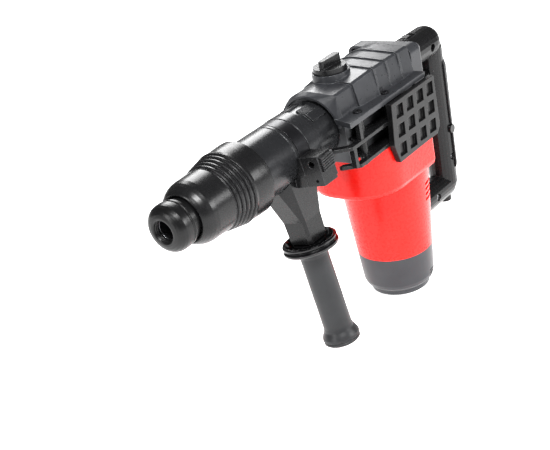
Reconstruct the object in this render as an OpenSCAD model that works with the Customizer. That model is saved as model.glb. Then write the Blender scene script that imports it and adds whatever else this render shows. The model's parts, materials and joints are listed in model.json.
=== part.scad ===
// Rotary hammer with a vertical motor and an 18 mm shank chuck.
// X runs along the tool axis from the nose (x = 0) to the rear handle, Z is up,
// and the origin is the centre of the tool holder's mouth, inside the dust cap.

/* [Chuck] */
// Radius of the bore for the 18 mm shank
bore_r = 9.05; // [9.00:0.05:9.20]
// Depth of the shank bore behind the dust cap
bore_depth = 70; // [66:1:70]
// Largest radius of the locking sleeve
sleeve_r = 36; // [35:0.5:37]
// Travel of the locking sleeve when it is pulled back
sleeve_travel = 8; // [5:1:8]

/* [Front housing] */
// Radius of the smooth collar behind the sleeve
collar_r = 30.6; // [30.4:0.1:30.8]
// Rear end of the collar, where the clamp band starts
collar_end = 155.4; // [154:0.2:156]
// Rear end of the band's seat
seat_end = 171; // [170:0.5:172]

/* [Side handle] */
// Distance of the side handle's axis behind the nose
side_x = 163.7; // [163:0.1:164]
// Swing of the side handle about the tool axis at rest
side_tilt = -9.15; // [-20:0.05:20]
// Distance from the tool axis to the grip's guard ring
guard_s = 90; // [90:0.5:92]
// Distance from the tool axis to the end of the grip
grip_end_s = 202; // [195:1:215]
// Radius of the side grip
side_grip_r = 14.2; // [13.5:0.1:15]
// Radius of the bore for the depth rod
depth_bore_r = 3.4; // [3:0.1:3.4]

/* [Drive] */
// Distance of the crank axis behind the nose
crank_x = 292; // [292:1:292]
// Throw of the crank pin
crank_throw = 14; // [12:0.5:14]
// Gear module in the spur train
gear_m = 1.0; // [1.0:0.1:1.0]
// Teeth on the motor pinion
pinion_teeth = 11; // [11:1:11]
// Teeth on the crank gear
crank_teeth = 49; // [49:1:49]
// Teeth on the intermediate gear
middle_teeth = 19; // [19:1:19]
// Teeth on the face-gear pinion
face_pinion_teeth = 12; // [12:1:12]
// Teeth on the face gear of the cylinder
face_teeth = 36; // [36:1:36]

/* [Housings] */
// Half width over the guard rails and the motor bowl
half_w = 53; // [52:0.5:54]
// Height of the cover's flange
flange_z = 14; // [13:0.5:15]
// Level of the underside of the motor bowl
bowl_z = -87; // [-88:0.5:-86]
// Level of the seam between motor housing and end cap
seam_z = -179; // [-180:0.5:-178]
// Level of the underside of the motor end cap
base_z = -228; // [-230:0.5:-226]

/* [Rear handle] */
// Distance of the rear grip's axis behind the nose
grip_x = 442; // [440:1:446]
// Radius of the rear grip
grip_r = 16; // [16:0.5:17]
// Height of the handle's lower arm
lower_arm_z = -160; // [-165:1:-158]

/* [Hidden] */
$fn = 96;
hull_fn = 24;
gap = 0.05;             // running clearance between turning parts
motor_x = crank_x + gear_m * (pinion_teeth + crank_teeth) / 2;
middle_x = crank_x - gear_m * (crank_teeth + middle_teeth) / 2;
face_x = middle_x - 10;   // rear face of the face gear's ring
mouth_x = 6;            // the tool holder's mouth, behind the front of the dust cap
bore_end = mouth_x + bore_depth;
seat_r = 28.6;          // radius of the band's seat
cyl_r = 21;             // outer radius of the cylinder
cyl_bore = 17;
housing_bore = 24;
box_w = 36;             // half width of the gear housing
box_top = 36;
box_floor = -78;
box_step = -33.8;       // the housing is wide above this level and fits the motor bowl below it
wall = 3.8;
web_top = -30;          // horizontal bearing web in the gear housing
web_low = -37;
box_x0 = 222;
box_x1 = 346;
gear_low = -48;
gear_high = -38.5;
wrist_x = 222;
face_pitch_r = 25.5;
face_pinion_r = face_pitch_r * face_pinion_teeth / face_teeth;
left_bolts = [236, 285];   // long bolts through the flange and the guards
right_bolts = [285, 330];
bolt_y = 43;
cone_top_r = 49;
cone_seam_r = 41.5;
arch_r = 38;            // arch of the cover over the tool axis
shoulder_y = 31.6;      // the cover's squared shoulder
shoulder_z = 34.2;

// ---------- shared shapes ----------

// Solid of revolution about the tool axis from [x, r] points
module turned(points) rotate([90, 0, 90]) rotate_extrude()
    polygon([for (p = points) [p[1], p[0]]]);

// Solid of revolution about a vertical axis at x from [z, r] points
module turned_z(x, points) translate([x, 0, 0]) rotate_extrude()
    polygon([for (p = points) [p[1], p[0]]]);

module x_cyl(x0, x1, r, y = 0, z = 0) translate([x0, y, z]) rotate([0, 90, 0])
    cylinder(h = x1 - x0, r = r);

module y_cyl(y0, y1, r, x = 0, z = 0) translate([x, y0, z]) rotate([-90, 0, 0])
    cylinder(h = y1 - y0, r = r);

module z_cyl(z0, z1, r, x = 0, y = 0) translate([x, y, z0]) cylinder(h = z1 - z0, r = r);

module x_ring(x0, x1, r0, r1) difference() {
    x_cyl(x0, x1, r1);
    x_cyl(x0 - 1, x1 + 1, r0);
}

module z_ring(z0, z1, r0, r1, x = 0) difference() {
    z_cyl(z0, z1, r1, x);
    z_cyl(z0 - 1, z1 + 1, r0, x);
}

module block(x0, x1, y0, y1, z0, z1) translate([x0, y0, z0]) cube([x1 - x0, y1 - y0, z1 - z0]);

// Extrudes an outline drawn in (y, z) along the tool axis
module along_x(x0, x1) translate([x0, 0, 0]) rotate([90, 0, 90]) linear_extrude(x1 - x0) children();

// Extrudes an outline drawn in (x, z) across the tool
module across_y(y0, y1) translate([0, y1, 0]) rotate([90, 0, 0]) linear_extrude(y1 - y0) children();

// Outline of a gear with straight-sided teeth; fill is a tooth's share of the pitch
function gear_outline(teeth, pitch_r, addendum, dedendum, fill) = [
    for (i = [0 : teeth - 1]) let (
        a = 360 * i / teeth, half = 180 * fill / teeth,
        root = pitch_r - dedendum, tip = pitch_r + addendum,
        flare = atan(0.36 * dedendum / pitch_r), taper = atan(0.36 * addendum / pitch_r))
        each [
            [root * cos(a - half - flare), root * sin(a - half - flare)],
            [tip * cos(a - half + taper), tip * sin(a - half + taper)],
            [tip * cos(a + half - taper), tip * sin(a + half - taper)],
            [root * cos(a + half + flare), root * sin(a + half + flare)]]];

module spur(teeth, addendum, dedendum, fill, z0, z1, x, turn = 0)
    translate([x, 0, z0]) rotate([0, 0, turn]) linear_extrude(z1 - z0)
        polygon(gear_outline(teeth, gear_m * teeth / 2, addendum, dedendum, fill));

// A ball bearing's outer envelope with its shield grooves
module bearing_z(x, z0, z1, r0, r1) turned_z(x, [
    [z0, r0], [z0, r0 + 1.6], [z0 + 0.5, r0 + 1.8], [z0 + 0.5, r1 - 2], [z0, r1 - 1.8], [z0, r1],
    [z1, r1], [z1, r1 - 1.8], [z1 - 0.5, r1 - 2], [z1 - 0.5, r0 + 1.8], [z1, r0 + 1.6], [z1, r0]]);

module pan_screw_z(x, y, z, r, head_h, shank) {
    difference() {
        z_cyl(z, z + head_h, r, x, y);
        z_cyl(z + head_h * 0.4, z + head_h + 1, r * 0.45, x, y);
    }
    z_cyl(z - shank, z, r * 0.5, x, y);
}

// Places children in the side handle's own frame, where the grip points down -Z
module at_side_handle() translate([side_x, 0, 0]) rotate([side_tilt, 0, 0]) children();

// ---------- chuck and hammer mechanism ----------

module dust_cap() color("#141414") turned([
    [0.6, 10.6], [0, 11.4], [0, 13.2], [0.7, 16.2], [2.2, 18.7], [4.6, 20.7], [7.4, 21.8], [9.8, 22.1],
    [14.6, 22.1], [15.6, 21.6], [16.0, 20.9], [17.2, 20.9], [17.6, 21.5], [19.4, 21.5], [19.9, 20.6],
    [21.5, 20.6], [21.5, 19.9], [34, 19.9], [34, 18.1], [40, 18.1], [40, 15.55], [5.8, 15.55], [5.8, 10.3],
    [4.8, 9.5], [4.2, 9.5], [3.6, 10.3], [2.9, 9.5], [2.3, 9.5], [1.7, 10.2]]);

module tool_holder() color("#8a8c90") difference() {
    turned([
        [6, bore_r], [6, 15], [6.6, 15.5], [40.2, 15.5], [40.2, 18], [90.6, 18], [90.6, 23.4], [92.6, 23.4],
        [92.6, 18], [120, 18], [120, 12],
        [90, 12], [90, 8], [bore_end, 8], [bore_end, bore_r]]);
    for (s = [-1, 1]) block(46, 60, -4.2, 4.2, s * 13.5 - 4.6, s * 13.5 + 4.6);
}

module locking_rollers() color("#b8babd") for (s = [-1, 1]) x_cyl(46.6, 59.4, 4.1, 0, s * 13.5);

// The outer skin of the sleeve: a cone, five grip grooves, then a barrel
sleeve_skin = concat(
    [[25, 22.6], [25.8, 23.8], [28, 25.6], [31.5, 27.6], [35, 28.9], [39.5, 29.7], [60.4, 30.2]],
    [for (i = [0 : 4]) let (x = 61.4 + 4.8 * i, r = 31.2 + 0.95 * i) each
        [[x - 0.5, r - 0.5], [x, r - 1.3], [x + 0.8, r - 1.3], [x + 1.3, r + 0.2], [x + 2.6, r + 0.7]]],
    [[86.4, 35.1], [96, 35.7], [104, sleeve_r], [107.3, sleeve_r], [108.5, sleeve_r - 1]]);

module locking_sleeve() color("#2c2d2f") turned(concat(sleeve_skin, [
    [108.5, 31.4], [88.2, 31.4], [86.2, 28], [64, 28], [64, 18 + gap], [44, 18 + gap], [43, 22.5],
    [38, 22.5], [37, 21], [25.6, 21]]));

// Coil spring, as a stack of rings that share one envelope
module sleeve_spring() color("#9a9ca0") for (i = [0 : 4]) translate([65.2 + 6 * i, 0, 0])
    rotate([0, 90, 0]) rotate_extrude() translate([21, 0]) circle(r = 1.1, $fn = 16);

module beat_piece() color("#7d7f83") turned([
    [bore_end + 0.5, 0], [bore_end + 0.5, 6.8], [bore_end + 1.8, 7.9], [96, 7.9], [96, 11.9],
    [103, 11.9], [103, 11.2], [106, 11.2], [106, 11.9], [117, 11.9], [118, 8], [130, 8], [131, 7], [131, 0]]);

module striker() color("#7d7f83") turned([
    [141, 0], [141, 12], [146, 16.9], [156, 16.9], [156, 15.6], [159.5, 15.6], [159.5, 16.9],
    [178, 16.9], [178, 11], [170, 11], [170, 0]]);

module piston() color("#a9acb0") difference() {
    turned([
        [196, 0], [196, 16.9], [199, 16.9], [199, 15.5], [202, 15.5], [202, 16.9], [236, 16.9],
        [236, 11.5], [207, 11.5], [205, 9], [205, 0]]);
    z_cyl(-18, 18, 4.02, wrist_x);
}

module wrist_pin() color("#8a8c90") z_cyl(-16.2, 16.2, 4, wrist_x);

module connecting_rod() color("#b8babd") difference() {
    union() {
        z_cyl(-7, 7, 7.6, wrist_x);
        block(wrist_x, crank_x - crank_throw, -4, 4, -4.5, 4.5);
        z_cyl(-6.5, 6.5, 10.4, crank_x - crank_throw);
    }
    z_cyl(-8, 8, 4 + gap, wrist_x);
    z_cyl(-8, 8, 6 + gap, crank_x - crank_throw);
}

module cylinder_tube() color("#9a9ca0") difference() {
    turned([
        [120, 12.5], [120, cyl_r], [262, cyl_r], [262, cyl_bore], [127, cyl_bore], [126, 12.5]]);
    for (a = [45 : 90 : 315]) rotate([a, 0, 0]) z_cyl(cyl_bore - 2, cyl_r + 2, 1.6, 184);
}

// Ring gear with radial teeth on its rear face
module face_gear() color("#6f7176") {
    x_ring(face_x - 7.5, face_x, cyl_r + gap, 29.5);
    for (i = [0 : face_teeth - 1]) rotate([360 * (i + 0.5) / face_teeth, 0, 0])
        translate([face_x, 0, -29]) rotate([0, 0, 90]) linear_extrude(6.2)
            polygon([[-0.85, 0.5], [0.85, 0.5], [0.85, 0], [0.45, -2.4], [-0.45, -2.4], [-0.85, 0]]);
}

module crankshaft() color("#8a8c90") difference() {
    union() {
        z_cyl(-74, -20, 8.5, crank_x);
        z_cyl(-20, -9, 21, crank_x);
        z_cyl(-9.5, -6.8, 6, crank_x - crank_throw);
    }
    z_cyl(-12, -8, 5, crank_x + 13);
}

module crank_gear() color("#75777b") difference() {
    spur(crank_teeth, 0.85, 1.25, 0.40, gear_low, gear_high, crank_x, 180 / crank_teeth);
    z_cyl(gear_low - 1, gear_high + 1, 8.5, crank_x);
    for (a = [0 : 60 : 300]) translate([crank_x, 0, 0]) rotate([0, 0, a])
        z_cyl(gear_low - 1, gear_high + 1, 4.5, 18);
}

module middle_shaft() color("#8a8c90") {
    z_cyl(-74, -29.6, 5, middle_x);
    translate([middle_x, 0, -29.6]) rotate([0, 0, 180]) linear_extrude(7.2)
        polygon(gear_outline(face_pinion_teeth, face_pinion_r, 1.0, 1.6, 0.36));
}

module middle_gear() color("#75777b") difference() {
    spur(middle_teeth, 0.85, 1.25, 0.40, gear_low, gear_high, middle_x, 180 / middle_teeth);
    z_cyl(gear_low - 1, gear_high + 1, 5, middle_x);
}

module spindle_bearings() color("#b8babd") {
    x_ring(104, 116, 18 + gap, housing_bore);
    x_ring(190, 202, cyl_r + gap, housing_bore);
}

module crank_bearings() color("#b8babd") {
    bearing_z(crank_x, -74, -64, 8.5 + gap, 14);
    bearing_z(crank_x, web_low, web_top, 8.5 + gap, 14);
}

module middle_bearings() color("#b8babd") {
    bearing_z(middle_x, -74, -66, 5 + gap, 11);
    bearing_z(middle_x, web_low, web_top, 5 + gap, 11);
}

// ---------- motor ----------

module rotor_shaft() color("#8a8c90") {
    spur(pinion_teeth, 0.8, 1.25, 0.38, gear_low - 2, gear_high, motor_x, 180);
    z_cyl(-214, gear_low - 2, 5, motor_x);
}

module rotor_core() color("#6c6460") difference() {
    z_cyl(-160, -104, 24, motor_x);
    z_cyl(-161, -103, 5, motor_x);
    for (a = [0 : 30 : 330]) translate([motor_x, 0, 0]) rotate([0, 0, a]) block(20, 25, -1, 1, -161, -103);
}

module commutator() color("#b4703c") difference() {
    z_cyl(-192, -168, 17, motor_x);
    z_cyl(-193, -167, 5, motor_x);
    for (a = [0 : 20 : 340]) translate([motor_x, 0, 0]) rotate([0, 0, a + 10])
        block(16, 18, -0.35, 0.35, -193, -167);
}

module fan() color("#3a3a3a") {
    z_ring(-96, -93.5, 5, 37, motor_x);
    z_ring(-94, -84, 5, 10, motor_x);
    for (a = [0 : 30 : 330]) translate([motor_x, 0, 0]) rotate([0, 0, a]) rotate([0, 0, 20])
        block(9, 36, -0.9, 0.9, -94, -85);
}

module stator() color("#7a5a44") difference() {
    z_cyl(-158, -106, 39.5, motor_x);
    z_cyl(-159, -105, 25, motor_x);
    for (a = [0, 180]) translate([motor_x, 0, 0]) rotate([0, 0, a]) block(22, 32, -9, 9, -159, -105);
}

module rotor_bearings() color("#b8babd") {
    bearing_z(motor_x, -74, -64, 5 + gap, 14);
    bearing_z(motor_x, -214, -205, 5 + gap, 13);
}

brush_z = -180;
module brush_at(side) translate([motor_x, 0, brush_z]) rotate([0, 0, side * 90]) children();
module brush_holders() color("#c9a24a") for (s = [-1, 1]) brush_at(s) difference() {
    block(18.5, 36.8, -5.5, 5.5, -7, 7);
    block(17, 33, -3.6, 3.6, -5.1, 5.1);
}
module brush_left() color("#3c3c3e") brush_at(-1) block(17.1, 28, -3.5, 3.5, -5, 5);
module brush_right() color("#3c3c3e") brush_at(1) block(17.1, 28, -3.5, 3.5, -5, 5);

// Plan of the bowl: two round front corners run back to a straight rear
module bowl_plan(inset) hull() {
    for (s = [-1, 1]) {
        translate([283.5, s * 8.5]) circle(r = 44.5 - inset, $fn = 96);
        translate([342, s * 47]) circle(r = 6 - inset * 0.6, $fn = 32);
    }
}

module motor_housing() color("#e8261c") difference() {
    union() {
        translate([0, 0, bowl_z + 6]) linear_extrude(-34 - bowl_z - 6) bowl_plan(0);
        hull() {
            translate([0, 0, bowl_z]) linear_extrude(0.1) bowl_plan(4.5);
            translate([0, 0, bowl_z + 2]) linear_extrude(0.1) bowl_plan(1.6);
            translate([0, 0, bowl_z + 6]) linear_extrude(0.1) bowl_plan(0);
        }
        turned_z(motor_x, [[seam_z, 0], [seam_z, cone_seam_r], [bowl_z + 2, cone_top_r], [bowl_z + 2, 0]]);
        block(355, 366, -15, 15, -176, -142);
    }
    translate([0, 0, bowl_z + 5]) linear_extrude(60) bowl_plan(3.4);
    turned_z(motor_x, [
        [seam_z - 1, 0], [seam_z - 1, cone_seam_r - 3], [bowl_z, cone_top_r - 4],
        [bowl_z + 6, cone_top_r - 4], [bowl_z + 6, 0]]);
    for (s = [-1, 1], x = [276, 336]) z_cyl(bowl_z - 1, bowl_z + 6, 2.2, x, s * 38);
    for (s = [-1, 1], i = [0 : 3]) translate([motor_x, 0, -104 - 6 * i]) rotate([0, 0, s * 72])
        block(38, 52, -10, 10, -1.4, 1.4);
}

module motor_end_cap() color("#4b4d50") difference() {
    turned_z(motor_x, [
        [base_z, 0], [base_z, 29], [base_z + 1.6, 32.2], [base_z + 7, 33.2], [base_z + 8, 34.6],
        [base_z + 11, 37.4], [base_z + 15, 38.9], [seam_z, cone_seam_r], [seam_z, 38.2], [base_z + 17, 35.9],
        [base_z + 14, 34], [base_z + 14, 16], [base_z + 23, 16], [base_z + 23, 13], [base_z + 14, 13],
        [base_z + 14, 7], [base_z + 9, 7], [base_z + 9, 0]]);
    for (a = [-80 : 20 : 80]) translate([motor_x, 0, 0]) rotate([0, 0, a])
        for (z = [base_z + 13, base_z + 16.4, base_z + 19.8]) block(33, 42, -4.4, 4.4, z - 0.8, z + 0.8);
    for (a = [45 : 90 : 315]) translate([motor_x, 0, 0]) rotate([0, 0, a])
        z_cyl(base_z - 1, base_z + 15, 3.6, 25);
}

module end_cap_screws() color("#1c1c1e") for (a = [45 : 90 : 315]) translate([motor_x, 0, 0])
    rotate([0, 0, a]) difference() {
        z_cyl(base_z + 1, base_z + 7, 3.4, 25);
        z_cyl(base_z - 1, base_z + 4, 1.5, 25);
    }

module motor_screws() color("#c9cbce") for (s = [-1, 1], x = [276, 336]) {
    difference() {
        z_cyl(bowl_z - 3, bowl_z, 3.6, x, s * 38);
        z_cyl(bowl_z - 4, bowl_z - 1.2, 1.5, x, s * 38);
    }
    z_cyl(bowl_z, bowl_z + 9, 2, x, s * 38);
}

// ---------- housings ----------

module front_housing() color("#3b3c3f") difference() {
    union() {
        turned([
            [96.4, housing_bore], [96.4, 29.6], [97.4, collar_r], [150, collar_r], [150.4, collar_r - 0.5],
            [151.2, collar_r - 0.5], [151.6, collar_r], [collar_end - 0.6, collar_r],
            [collar_end, collar_r - 0.6], [collar_end, seat_r], [seat_end, seat_r], [seat_end, 30.4],
            [seat_end + 0.6, 31], [186.4, 31], [187.6, 30], [187.6, 28.8], [box_x0, 28.8],
            [box_x0, housing_bore]]);
        for (a = [-38, -17.5, 17.5, 38]) rotate([a, 0, 0])
            block(193.5, 215, -4.8, 4.8, 27, abs(a) > 30 ? 30.6 : 29.8);
    }
    x_cyl(95, 103, housing_bore + 1);
}

// Section above the step, seen along the tool axis
module upper_section(inset) {
    intersection() {
        circle(r = box_w - inset, $fn = 96);
        translate([-60, box_step + inset]) square([120, 100]);
    }
    translate([-box_w + inset, box_step + inset]) square([2 * (box_w - inset), -box_step - inset]);
}

// Plan below the step: a round nose that fits in the motor bowl
module lower_plan(inset) intersection() {
    union() {
        translate([283.5, 0]) circle(r = 40.4 - inset, $fn = 96);
        translate([283.5, -box_w]) square([box_x1 - 4 - inset - 283.5, 2 * box_w]);
    }
    translate([200, -box_w + inset]) square([200, 2 * (box_w - inset)]);
}

module gear_housing() color("#55585c") difference() {
    union() {
        difference() {
            along_x(box_x0, box_x1) upper_section(0);
            along_x(box_x0 + 4, box_x1 - 4) upper_section(wall);
        }
        difference() {
            translate([0, 0, box_floor]) linear_extrude(web_top - box_floor) lower_plan(0);
            translate([0, 0, box_floor + 4]) linear_extrude(web_low - box_floor - 4) lower_plan(3.2);
        }
        for (x = [crank_x, motor_x]) z_cyl(box_floor + 1, -65, 17, x);
        z_cyl(box_floor + 1, -67, 14, middle_x);
    }
    x_cyl(box_x0 - 1, box_x0 + 5, housing_bore);
    z_cyl(-74, -60, 14, crank_x);
    z_cyl(-74, -60, 14, motor_x);
    z_cyl(-74, -60, 11, middle_x);
    z_cyl(box_floor - 1, -73, 9, motor_x);
    z_cyl(web_low - 1, web_top + 1, 14, crank_x);
    z_cyl(web_low - 1, web_top + 1, 11, middle_x);
    z_cyl(web_low - 3, web_top + 1, 9, motor_x);
    z_cyl(20, 50, 4, 262);
}

// Cover section: an arch over the tool axis with a squared shoulder on the left side
module cover_outline(grow) {
    intersection() {
        circle(r = arch_r + grow, $fn = 96);
        translate([-60, 9]) square([120, 60]);
    }
    polygon([
        [-34.8 - grow, 9], [-34.8 - grow, flange_z], [-shoulder_y - grow, shoulder_z + grow],
        [-shoulder_y + 3 - grow, shoulder_z + 1.6 + grow], [-14, 37.2 + grow], [0, 37 + grow],
        [20, 31], [28, 25], [34.8 + grow * 0.6, flange_z], [34.8 + grow * 0.6, 9]]);
}

module cover_cavity(x0, x1) along_x(x0, x1) union() {
    circle(r = box_w + 0.4, $fn = 96);
    translate([-box_w - 0.4, -10]) square([2 * box_w + 0.8, 10]);
}

module top_cover() color("#2f3033") difference() {
    union() {
        hull() {
            along_x(215.6, 215.7) intersection() {
                circle(r = 35.4, $fn = hull_fn * 2);
                translate([-60, 4]) square([120, 60]);
            }
            along_x(221.5, 221.6) cover_outline(0);
        }
        along_x(221.5, 249) cover_outline(0);
        along_x(249, 348) cover_outline(1.8);
        hull() {
            along_x(249, 249.1) cover_outline(1.8);
            along_x(275, 346) cover_outline(4.6);
        }
        for (x = [280, 302, 324]) along_x(x, x + 3) cover_outline(6);
        translate([0, 0, 9]) linear_extrude(flange_z - 9) polygon([
            [215, -33], [208.5, -half_w], [346, -half_w], [346, half_w], [278, half_w],
            [262, 36], [215, 33]]);
        z_cyl(30, 44.6, 19, 262);
    }
    cover_cavity(219, 349);
    block(219, 349, -box_w - 0.4, box_w + 0.4, -1, 12);
    x_cyl(200, 220, 33.2);
    block(205, 220, -32, 32, -20, 0);
    z_cyl(30, 60, 4, 262);
    z_cyl(43.6, 60, 17.4, 262);
    for (s = [-1, 1], x = s < 0 ? left_bolts : right_bolts) {
        z_cyl(8, 20, 2.3, x, s * bolt_y);
        z_cyl(12.4, 20, 4.6, x, s * bolt_y);
    }
}

module cover_screws() color("#1c1c1e") for (s = [-1, 1], x = s < 0 ? left_bolts : right_bolts) {
    pan_screw_z(x, s * bolt_y, 12.4, 4.2, 3.2, 52.4);
}

// One rail of the guard, seen in plan: it bends in towards the neck at the front
module rail_plan(front, inner = 34.5) polygon([
    [box_x1, -box_w - 0.3], [box_x1, -half_w], [front, -half_w], [front - 11, -37.5],
    [front - 11, -inner], [front - 6, -inner], [front + 4, -46], [front + 14, -47],
    [front + 20, -box_w - 0.3]]);

module side_guard(front, bolts, inner = 34.5) difference() {
    union() {
        translate([0, 0, -12]) linear_extrude(3.5) rail_plan(front, inner);
        translate([0, 0, -33.6]) linear_extrude(3.5) rail_plan(front + 10, inner);
        for (x = bolts) {
            z_cyl(-38, 8.8, 4.4, x, -bolt_y);
            block(x - 2, x + 2, -47, -box_w - 0.3, -32, 8.8);
        }
        block(front + 1.4, front + 6, -half_w, -47.6, -31, -10);
        block(front + 16, front + 20.5, -half_w + 0.4, -48, -10, 8.8);
        block(300, 306, -half_w, -box_w - 0.3, -32, 8.8);
    }
    for (x = bolts) z_cyl(-41, 12, 2.3, x, -bolt_y);
}

module bumper_outline() polygon([
    [270, 8.4], [265.5, -33], [272, -53], [346, -53], [352, -46], [352, 8.4]]);

module bumper() difference() {
    across_y(-59, -half_w - 0.1) bumper_outline();
    for (i = [0 : 3], j = [0 : 2]) translate([276 + 19.5 * i - 1.5 * j, -56, -8.5 - 19.5 * j])
        rotate([0, 3, 0]) block(0, 13, -6, 0, 0, 13);
}

module rear_cover() color("#2f3033") difference() {
    hull() for (y = [-30, 30], z = [-76, 30]) {
        x_cyl(348.2, 366, 8, y, z);
        x_cyl(366, 371.8, 5, y, z);
    }
    hull() for (y = [-30, 30], z = [-76, 30]) x_cyl(340, 367.5, 5, y, z);
}

// ---------- rear handle ----------

module bar(p, q, r, y = 0) hull() for (c = [p, q]) translate([c[0], y, c[1]])
    sphere(r = r, $fn = hull_fn);

upper_arm = [[370, 12], [grip_x - 6, 12]];
rear_grip = [[grip_x, 2], [grip_x - 3, lower_arm_z + 4]];
lower_arm = [[grip_x - 6, lower_arm_z], [360, lower_arm_z + 1]];
cut_x = 372;

module handle_solid(inset) {
    bar(upper_arm[0], upper_arm[1], 18 - inset);
    bar(rear_grip[0], rear_grip[1], grip_r - inset);
    bar(lower_arm[0], lower_arm[1], 15.5 - inset);
}

// [x, z, half width of the handle there] for each screw
handle_screw_spots = [[384, 12, 16.5], [425, 10, 16.5], [440, -125, 14.2], [400, -159, 14]];
dial_spot = [404, 18];

module one_side(side, x, z, r, half) y_cyl(side < 0 ? -half : 0, side < 0 ? 0 : half, r, x, z);

module handle_halves(side) difference() {
    union() {
        difference() {
            intersection() {
                handle_solid(0);
                union() {
                    block(cut_x, 500, side < 0 ? -30 : 0, side < 0 ? 0 : 30, -110, 60);
                    block(366.2, 500, side < 0 ? -30 : 0, side < 0 ? 0 : 30, -220, -110);
                }
            }
            handle_solid(3);
            block(415, grip_x - 8, -7.4, 7.4, -76, -14.6);
            y_cyl(-30, 0, 5.06, grip_x + 1, -92);
            z_cyl(-200, -160, 8, grip_x - 6);
            block(dial_spot[0] - 10.4, dial_spot[0] + 10.4, -5, 5, 24, 40);
        }
        for (c = handle_screw_spots) one_side(side, c[0], c[1], 5.6, c[2]);
        one_side(side, dial_spot[0], dial_spot[1], 2.5 - gap, 15.4);
    }
    for (c = handle_screw_spots) {
        y_cyl(-30, 11.2, 3.1, c[0], c[1]);
        y_cyl(-30, -13, 4.4, c[0], c[1]);
    }
}

module handle_shell_left() color("#222325") handle_halves(-1);
module handle_shell_right() color("#222325") handle_halves(1);

module grip_pad() color("#18181a") difference() {
    intersection() {
        bar([rear_grip[0][0], -20], [rear_grip[1][0] + 0.4, -134], grip_r + 2);
        block(grip_x + 1, grip_x + 30, -30, 30, -140, -12);
    }
    bar(rear_grip[0], rear_grip[1], grip_r + 0.05);
    y_cyl(-30, 0, 5.8, grip_x + 1, -92);
}

module handle_screws() color("#9a9ca0") for (c = handle_screw_spots) difference() {
    union() {
        y_cyl(-13, 11, 2.2, c[0], c[1]);
        y_cyl(-13, -10.4, 3, c[0], c[1]);
    }
    y_cyl(-14, -11.8, 1.5, c[0], c[1]);
}

module switch_module() color("#3a3c40") block(grip_x - 5.5, grip_x + 6.5, -8, 8, -78, -24);

module trigger_pin() color("#b8babd") y_cyl(-11, 11, 2, grip_x - 10, -18.5);

module trigger() color("#1f2022") difference() {
    union() {
        across_y(-7, 7) polygon([
            [grip_x - 13, -15.5], [grip_x - 7, -15.5], [grip_x - 7, -22], [grip_x - 11, -70],
            [grip_x - 22, -71], [grip_x - 24.5, -64], [grip_x - 22, -44], [grip_x - 19, -26]]);
    }
    y_cyl(-12, 12, 2 + gap, grip_x - 10, -18.5);
}

module lock_button() color("#1f2022") y_cyl(-18.5, -8.5, 5, grip_x + 1, -92);

module cord_gland() color("#18181a") difference() {
    z_cyl(lower_arm_z - 20, lower_arm_z - 6, 7.9, grip_x - 6);
    z_cyl(lower_arm_z - 21, lower_arm_z - 5, 4.2, grip_x - 6);
}

module speed_dial() color("#3a3c40") difference() {
    y_cyl(-4, 4, 13, dial_spot[0], dial_spot[1]);
    for (a = [0 : 15 : 345]) translate([dial_spot[0], 0, dial_spot[1]]) rotate([0, a, 0])
        block(12.3, 14, -5, 5, -0.8, 0.8);
    y_cyl(-5, 5, 2.5, dial_spot[0], dial_spot[1]);
}

module mode_knob() color("#1f2022") {
    z_cyl(43.9, 50, 16.8, 262);
    hull() for (x = [250, 274]) z_cyl(49.5, 58, x < 262 ? 3 : 4.5, x);
    z_cyl(26, 44, 3.93, 262);
    z_cyl(21.5, 26, 2.2, 264);
}

// ---------- side handle ----------

module chamfered(x0, x1, y, c, z) translate([0, 0, z]) linear_extrude(0.1) polygon([
    [x0 + c, -y], [x1 - c * 0.6, -y], [x1, -y + c * 0.6], [x1, y - c * 0.6], [x1 - c * 0.6, y],
    [x0 + c, y], [x0, y - c], [x0, -y + c]]);

module handle_bracket() color("#2a2b2d") difference() {
    at_side_handle() union() {
        hull() {
            chamfered(-33, 24, 21, 11, -22);
            chamfered(-13.8, 14, 14, 2.6, -67);
        }
        hull() {
            chamfered(-13.8, 14, 14, 2.6, -67);
            chamfered(-13.6, 13.6, 13.6, 3, -guard_s + 0.4);
        }
        block(-13.4, 8.4, -34, -15, -31, -2);
    }
    x_cyl(100, 170, collar_r + 0.3);
    x_cyl(169, 200, 31.3);
    at_side_handle() {
        block(-8.6, 7.8, -13, 13, -50, -20);
        z_cyl(-95, -40, 4.4);
        for (s = [-1, 1]) translate([0, s * 19, 0]) rotate([s * 9, 0, 0]) translate([0, 0, -66])
            linear_extrude(24) polygon([[-4, -3], [11, -3], [11, 3], [-4, 3]]);
    }
}

// The band passes round its seat and hooks under the head of the clamp bolt
module clamp_band() color("#121213") difference() {
    union() {
        x_cyl(collar_end + 0.4, seat_end - 0.4, collar_r);
        at_side_handle() block(-7.3, 6.3, -11.6, 11.6, -48, -25);
    }
    x_cyl(100, 200, seat_r + 0.08);
    at_side_handle() {
        block(-20, 20, -9.8, 9.8, -46, -10);
        block(-20, 20, -6, 6, -50, -45);
    }
}

module clamp_bolt() color("#9a9ca0") at_side_handle() {
    block(-6.5, 6.5, -8.5, 8.5, -45.9, -42.5);
    z_cyl(-128, -45.9, 4);
}

module depth_stop_block() color("#1d1e20") at_side_handle() difference() {
    union() {
        block(-13.2, 6.6, -53.5, -34.1, -30.5, -2);
        block(-10, 8.2, -53.5, -36, -28, -18.8);
    }
    x_cyl(-30, 30, depth_bore_r, -44.8, -9.5);
    block(-10.2, 8, -54, -49.4, -18.4, -3.4);
    block(-10.2, 8, -49.5, -48.9, -18.4, -14);
    x_cyl(-14, -11, 1.6, -46, -25.5);
    y_cyl(-50, -44.9, 2, -1, -15.6);
}

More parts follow.
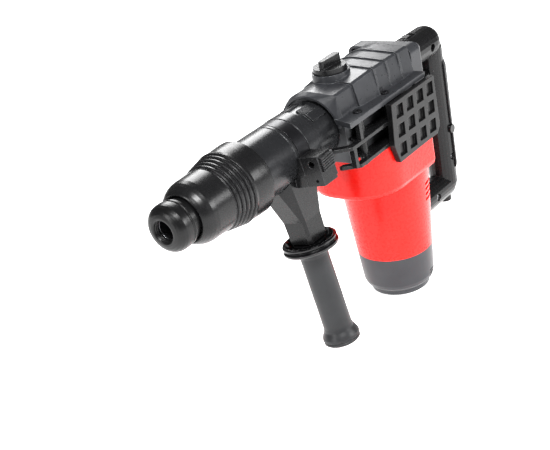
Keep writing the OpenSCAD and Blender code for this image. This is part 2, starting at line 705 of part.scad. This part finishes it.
module depth_button() color("#161617") at_side_handle() {
    block(-9.9, 7.7, -54.2, -52.4, -18.1, -3.7);
    y_cyl(-52.6, -47.2, 1.94, -1, -15.6);
    for (i = [0 : 5]) across_y(-55.6, -54.2) polygon([
        [-9.9, -18.1 + 2.3 * i], [-9.9, -16.7 + 2.3 * i], [7.7, -15.2 + 2.3 * i], [7.7, -16.6 + 2.3 * i]]);
}

module guard_ring() color("#151516") at_side_handle() translate([0, 0, -guard_s]) difference() {
    rotate_extrude() polygon([
        [0, -1], [16.4, -1], [16.4, -6], [22.5, -6], [24.6, 0], [26.2, 0], [27.2, -0.8], [27.3, -2.2],
        [26.4, -3.4], [26.0, -4.2], [26.8, -5], [27.8, -6], [27.8, -7.6], [27, -8.8], [25, -9.2], [0, -9.2]]);
    translate([0, 0, -12]) cylinder(h = 15, r = 4.4);
    for (a = [0 : 30 : 330]) rotate([0, 0, a]) translate([17.6, -3.6, -7.9]) cube([4.6, 7.2, 10]);
}

module side_grip() color("#4a4b4d") at_side_handle() difference() {
    rotate_extrude() polygon([
        [7.6, -guard_s - 9.2], [15.6, -guard_s - 9.2], [15.4, -guard_s - 13], [14.3, -guard_s - 17],
        [side_grip_r - 0.1, -guard_s - 24], [side_grip_r, -140], [side_grip_r + 0.1, -170], [14.5, -184],
        [15.2, -188], [17.2, -191.6], [18.6, -194.6], [18.9, -197], [18.1, -198], [17.7, -198.6],
        [18.4, -199.2], [18.4, -grip_end_s + 1.2], [17.2, -grip_end_s], [0, -grip_end_s],
        [0, -grip_end_s + 4], [7.6, -grip_end_s + 4]]);
    translate([0, 0, -grip_end_s + 4]) cylinder(h = 40, r = 9);
}

module grip_nut() color("#b8babd") at_side_handle() difference() {
    translate([0, 0, -118]) cylinder(h = 9, r = 8.2, $fn = 6);
    translate([0, 0, -120]) cylinder(h = 15, r = 4 + gap);
}

// Moves the whole tool so that the origin is the tool holder's mouth
module placed() translate([-mouth_x, 0, 0]) children();

// ---------- nodes ----------

placed() front_housing();
placed() gear_housing();
placed() top_cover();
placed() color("#1b1b1d") side_guard(206, left_bolts);  // side_guard_left
placed() color("#1b1b1d") mirror([0, 1, 0])  // side_guard_right
    side_guard(266, right_bolts, box_w + 0.3);
placed() color("#242527") bumper();  // bumper_left
placed() color("#242527") mirror([0, 1, 0]) bumper();  // bumper_right
placed() motor_housing();
placed() motor_end_cap();
placed() stator();
placed() brush_holders();
placed() rear_cover();
placed() handle_shell_left();
placed() handle_shell_right();
placed() grip_pad();
placed() switch_module();
placed() trigger_pin();
placed() cord_gland();
placed() spindle_bearings();
placed() crank_bearings();
placed() middle_bearings();
placed() rotor_bearings();
placed() cover_screws();
placed() motor_screws();
placed() end_cap_screws();
placed() handle_screws();
placed() tool_holder();
placed() dust_cap();
placed() locking_rollers();
placed() cylinder_tube();  // cylinder
placed() face_gear();
placed() locking_sleeve();
placed() sleeve_spring();
placed() beat_piece();
placed() striker();
placed() piston();
placed() wrist_pin();
placed() connecting_rod();
placed() crankshaft();
placed() crank_gear();
placed() middle_shaft();
placed() middle_gear();
placed() rotor_shaft();
placed() rotor_core();
placed() commutator();
placed() fan();
placed() handle_bracket();
placed() clamp_band();
placed() depth_stop_block();
placed() guard_ring();
placed() side_grip();
placed() grip_nut();
placed() clamp_bolt();
placed() depth_button();
placed() mode_knob();
placed() speed_dial();
placed() trigger();
placed() lock_button();
placed() brush_left();
placed() brush_right();
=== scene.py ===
import json
import math

import bmesh
import bpy
from mathutils import Matrix, Vector


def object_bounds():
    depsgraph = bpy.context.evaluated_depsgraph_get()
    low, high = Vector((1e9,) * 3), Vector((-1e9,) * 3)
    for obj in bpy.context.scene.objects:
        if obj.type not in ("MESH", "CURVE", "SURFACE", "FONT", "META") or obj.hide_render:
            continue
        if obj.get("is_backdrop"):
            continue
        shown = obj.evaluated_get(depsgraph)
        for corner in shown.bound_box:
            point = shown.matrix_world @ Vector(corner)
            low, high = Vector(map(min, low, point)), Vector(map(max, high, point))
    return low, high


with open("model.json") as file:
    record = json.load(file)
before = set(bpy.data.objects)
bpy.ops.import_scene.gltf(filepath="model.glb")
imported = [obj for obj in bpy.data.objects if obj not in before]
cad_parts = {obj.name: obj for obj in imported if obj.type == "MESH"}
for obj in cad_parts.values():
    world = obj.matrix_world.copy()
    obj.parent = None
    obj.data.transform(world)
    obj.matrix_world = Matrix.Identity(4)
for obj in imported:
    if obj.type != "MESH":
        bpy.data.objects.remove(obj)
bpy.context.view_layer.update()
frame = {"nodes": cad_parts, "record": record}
NODES = frame["nodes"]


# ---------- camera, light and floor ----------

def camera():
    data = bpy.data.cameras.new("camera")
    data.sensor_width = 36.0
    data.lens = 69.4
    data.clip_start = 0.05
    data.clip_end = 20.0
    cam = bpy.data.objects.new("camera", data)
    azimuth, elevation, roll = math.radians(-47.65), math.radians(25.27), math.radians(-12.17)
    back = Vector((math.sin(azimuth) * math.cos(elevation), -math.cos(azimuth) * math.cos(elevation),
                   math.sin(elevation)))
    right = Vector((math.cos(azimuth), math.sin(azimuth), 0.0))
    up = back.cross(right)
    right_r = right * math.cos(roll) + up * math.sin(roll)
    up_r = up * math.cos(roll) - right * math.sin(roll)
    m = Matrix((right_r, up_r, back)).transposed().to_4x4()
    m.translation = Vector((-0.5342, -0.60615, 0.36242))
    cam.matrix_world = m
    bpy.context.scene.collection.objects.link(cam)
    bpy.context.scene.camera = cam


def area(name, place, target, size, watts, tint=(1.0, 1.0, 1.0)):
    data = bpy.data.lights.new(name, "AREA")
    data.shape = "RECTANGLE"
    data.size, data.size_y = size
    data.energy = watts
    data.color = tint
    lamp = bpy.data.objects.new(name, data)
    lamp.location = place
    lamp.rotation_euler = (Vector(target) - Vector(place)).to_track_quat("-Z", "Y").to_euler()
    bpy.context.scene.collection.objects.link(lamp)


def studio():
    middle = (0.2, 0.0, -0.06)
    area("key", (-0.5, -0.75, 1.35), middle, (0.8, 0.5), 42.0)
    area("side", (-1.5, 0.35, 0.55), middle, (0.4, 1.2), 15.0)
    area("left", (0.75, -1.5, 0.45), middle, (0.9, 0.5), 20.0)
    area("rim", (1.1, 0.9, 0.9), middle, (0.8, 0.8), 20.0)
    world = bpy.data.worlds.new("studio")
    world.use_nodes = True
    world.node_tree.nodes["Background"].inputs["Color"].default_value = (1.0, 1.0, 1.0, 1.0)
    world.node_tree.nodes["Background"].inputs["Strength"].default_value = 0.16
    bpy.context.scene.world = world
    bpy.context.scene.view_settings.view_transform = "Standard"
    bpy.context.scene.view_settings.look = "Medium High Contrast"


def floor():
    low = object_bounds()[0]
    bm = bmesh.new()
    n, half = 24, 5.0
    bmesh.ops.create_grid(bm, x_segments=n, y_segments=n, size=half)
    mesh = bpy.data.meshes.new("floor")
    bm.to_mesh(mesh)
    bm.free()
    obj = bpy.data.objects.new("floor", mesh)
    obj.location = (0.2, 0.0, low[2] - 0.0005)
    bpy.context.scene.collection.objects.link(obj)
    m = bpy.data.materials.new("floor_paper")
    m.use_nodes = True
    p = m.node_tree.nodes["Principled BSDF"]
    p.inputs["Base Color"].default_value = (0.93, 0.93, 0.93, 1.0)
    p.inputs["Roughness"].default_value = 0.9
    p.inputs["Emission Color"].default_value = (1.0, 1.0, 1.0, 1.0)
    p.inputs["Emission Strength"].default_value = 0.72
    mesh.materials.append(m)
    obj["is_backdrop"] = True


# ---------- materials ----------

class Graph:
    """A small helper that wires shader nodes."""

    def __init__(self, name):
        self.mat = bpy.data.materials.new(name)
        self.mat.use_nodes = True
        self.tree = self.mat.node_tree
        self.shader = self.tree.nodes["Principled BSDF"]
        self.coord = self.tree.nodes.new("ShaderNodeTexCoord")

    def add(self, kind, **settings):
        node = self.tree.nodes.new(kind)
        for key, value in settings.items():
            setattr(node, key, value)
        return node

    def link(self, a, b):
        self.tree.links.new(a, b)

    def noise(self, scale, detail=3.0, rough=0.55, stretch=None):
        n = self.add("ShaderNodeTexNoise")
        n.inputs["Scale"].default_value = scale
        n.inputs["Detail"].default_value = detail
        n.inputs["Roughness"].default_value = rough
        if stretch:
            mapping = self.add("ShaderNodeMapping")
            mapping.inputs["Scale"].default_value = stretch
            self.link(self.coord.outputs["Object"], mapping.inputs["Vector"])
            self.link(mapping.outputs["Vector"], n.inputs["Vector"])
        else:
            self.link(self.coord.outputs["Object"], n.inputs["Vector"])
        return n.outputs["Fac"]

    def spread(self, value, low, high, start=0.3, end=0.7):
        r = self.add("ShaderNodeMapRange")
        r.inputs["From Min"].default_value = start
        r.inputs["From Max"].default_value = end
        r.inputs["To Min"].default_value = low
        r.inputs["To Max"].default_value = high
        self.link(value, r.inputs["Value"])
        return r.outputs["Result"]

    def math(self, op, a, b=None, clamp=False):
        m = self.add("ShaderNodeMath", operation=op, use_clamp=clamp)
        for i, v in enumerate((a, b)):
            if v is None:
                continue
            if hasattr(v, "links"):
                self.link(v, m.inputs[i])
            else:
                m.inputs[i].default_value = v
        return m.outputs[0]

    def mix(self, factor, a, b):
        m = self.add("ShaderNodeMix", data_type="RGBA")
        for socket, v in ((m.inputs[0], factor), (m.inputs[6], a), (m.inputs[7], b)):
            if hasattr(v, "links"):
                self.link(v, socket)
            elif isinstance(v, (int, float)):
                socket.default_value = v
            else:
                socket.default_value = (*v, 1.0)
        return m.outputs[2]

    def edges(self, radius):
        """1 on edges within radius, 0 on flat stretches."""
        bevel = self.add("ShaderNodeBevel", samples=6)
        bevel.inputs["Radius"].default_value = radius
        geometry = self.add("ShaderNodeNewGeometry")
        dot = self.add("ShaderNodeVectorMath", operation="DOT_PRODUCT")
        self.link(bevel.outputs["Normal"], dot.inputs[0])
        self.link(geometry.outputs["Normal"], dot.inputs[1])
        return self.spread(dot.outputs["Value"], 1.0, 0.0, 0.72, 0.985), bevel

    def bump(self, height, strength, distance, normal=None):
        b = self.add("ShaderNodeBump")
        b.inputs["Strength"].default_value = strength
        b.inputs["Distance"].default_value = distance
        self.link(height, b.inputs["Height"])
        if normal is not None:
            self.link(normal, b.inputs["Normal"])
        return b.outputs["Normal"]


def surface(name, colour, rough, metallic=0.0, mottle=0.08, grain=1800.0, grain_height=0.00003,
            edge=0.0006, worn=None, worn_amount=0.5, coat=0.0, brushed=None, spec=0.28, rough_span=0.035):
    """Moulded, painted or machined surface with colour drift, grain, rounded edges and light wear."""
    g = Graph(name)
    p = g.shader
    light = tuple(min(1.0, c * (1 + mottle) + 0.002) for c in colour)
    dark = tuple(c * (1 - mottle) for c in colour)
    broad = g.noise(38.0, 4.0, 0.6)
    base = g.mix(g.spread(broad, 0.0, 1.0), dark, light)
    mask, bevel = g.edges(edge)
    if worn is not None:
        patch = g.spread(g.noise(170.0, 5.0, 0.7), 0.15, 1.0, 0.42, 0.62)
        base = g.mix(g.math("MULTIPLY", g.math("MULTIPLY", mask, patch), worn_amount, True), base, worn)
    g.link(base, p.inputs["Base Color"])
    smear = g.noise(260.0, 4.0, 0.6)
    r = g.spread(smear, rough - rough_span, rough + rough_span)
    g.link(g.math("SUBTRACT", r, g.math("MULTIPLY", mask, 0.06), True), p.inputs["Roughness"])
    p.inputs["Metallic"].default_value = metallic
    p.inputs["Specular IOR Level"].default_value = spec
    p.inputs["Coat Weight"].default_value = coat
    p.inputs["Coat Roughness"].default_value = 0.12
    if brushed:
        height = g.noise(60.0, 3.0, 0.6, brushed)
    else:
        height = g.noise(grain, 2.0, 0.5)
    g.link(g.bump(height, 0.6, grain_height, bevel.outputs["Normal"]), p.inputs["Normal"])
    return g.mat


def materials():
    m = {}
    m["red_plastic"] = surface("red_plastic", (0.74, 0.014, 0.009), 0.28, mottle=0.05, grain=1700.0,
                               grain_height=0.00003, worn=(0.95, 0.16, 0.11), worn_amount=0.35, edge=0.0009)
    m["grey_plastic"] = surface("grey_plastic", (0.03, 0.031, 0.034), 0.3, mottle=0.1,
                                worn=(0.32, 0.33, 0.34), worn_amount=0.55, edge=0.0008)
    m["cap_grey"] = surface("cap_grey", (0.04, 0.041, 0.045), 0.32, mottle=0.08, worn=(0.3, 0.3, 0.31), edge=0.0008)
    m["black_plastic"] = surface("black_plastic", (0.008, 0.008, 0.0085), 0.27, mottle=0.1,
                                 worn=(0.22, 0.22, 0.23), worn_amount=0.55, edge=0.0007)
    m["gloss_black"] = surface("gloss_black", (0.004, 0.004, 0.0045), 0.1, mottle=0.15, grain_height=0.00001,
                               worn=(0.12, 0.12, 0.12), worn_amount=0.3, edge=0.0005, coat=0.3)
    m["rubber_black"] = surface("rubber_black", (0.006, 0.006, 0.0063), 0.3, mottle=0.1, grain=1300.0,
                                grain_height=0.00003, worn=(0.11, 0.11, 0.11), worn_amount=0.4, edge=0.0008)
    m["grip_rubber"] = surface("grip_rubber", (0.022, 0.0225, 0.024), 0.4, mottle=0.08, grain=1500.0,
                               grain_height=0.00006, worn=(0.16, 0.16, 0.16), worn_amount=0.4, edge=0.001)
    m["housing_metal"] = surface("housing_metal", (0.02, 0.0205, 0.022), 0.26, metallic=0.25, mottle=0.1,
                                 grain=1500.0, worn=(0.42, 0.43, 0.44), worn_amount=0.6, edge=0.0006)
    m["gearbox_alloy"] = surface("gearbox_alloy", (0.1, 0.102, 0.106), 0.48, metallic=0.5, mottle=0.2, grain=520.0,
                                 grain_height=0.00022, worn=(0.4, 0.4, 0.41), edge=0.0009)
    m["steel"] = surface("steel", (0.55, 0.56, 0.58), 0.28, metallic=1.0, mottle=0.08,
                         brushed=(6.0, 60.0, 60.0), grain_height=0.00003, edge=0.0004)
    m["hard_steel"] = surface("hard_steel", (0.33, 0.335, 0.35), 0.3, metallic=1.0, mottle=0.15,
                              brushed=(60.0, 6.0, 60.0), grain_height=0.00003, edge=0.0004)
    m["spring_steel"] = surface("spring_steel", (0.42, 0.43, 0.45), 0.3, metallic=1.0, mottle=0.12,
                                grain_height=0.00002, edge=0.0003)
    m["bearing_steel"] = surface("bearing_steel", (0.62, 0.63, 0.65), 0.16, metallic=1.0, mottle=0.05,
                                 grain_height=0.00001, edge=0.0004)
    m["alloy"] = surface("alloy", (0.72, 0.73, 0.75), 0.3, metallic=1.0, mottle=0.06, edge=0.0005)
    m["copper"] = surface("copper", (0.6, 0.27, 0.13), 0.26, metallic=1.0, mottle=0.2, edge=0.0003)
    m["windings"] = surface("windings", (0.18, 0.1, 0.06), 0.45, metallic=0.4, mottle=0.4,
                            brushed=(8.0, 8.0, 160.0), grain_height=0.0002, edge=0.0005)
    m["brass"] = surface("brass", (0.72, 0.5, 0.2), 0.3, metallic=1.0, mottle=0.1, edge=0.0004)
    m["carbon"] = surface("carbon", (0.035, 0.035, 0.037), 0.55, mottle=0.3, grain=700.0, edge=0.0004)
    m["screw_black"] = surface("screw_black", (0.02, 0.02, 0.022), 0.32, metallic=0.6, mottle=0.2,
                               worn=(0.4, 0.4, 0.41), worn_amount=0.5, edge=0.0005)
    return m


def main():
    camera()
    studio()
    floor()
    mats = materials()
    for row in frame["record"]["subparts"]:
        obj = NODES[row["node"]]
        obj.data.materials.clear()
        obj.data.materials.append(mats[row["material_slot"]])


main()
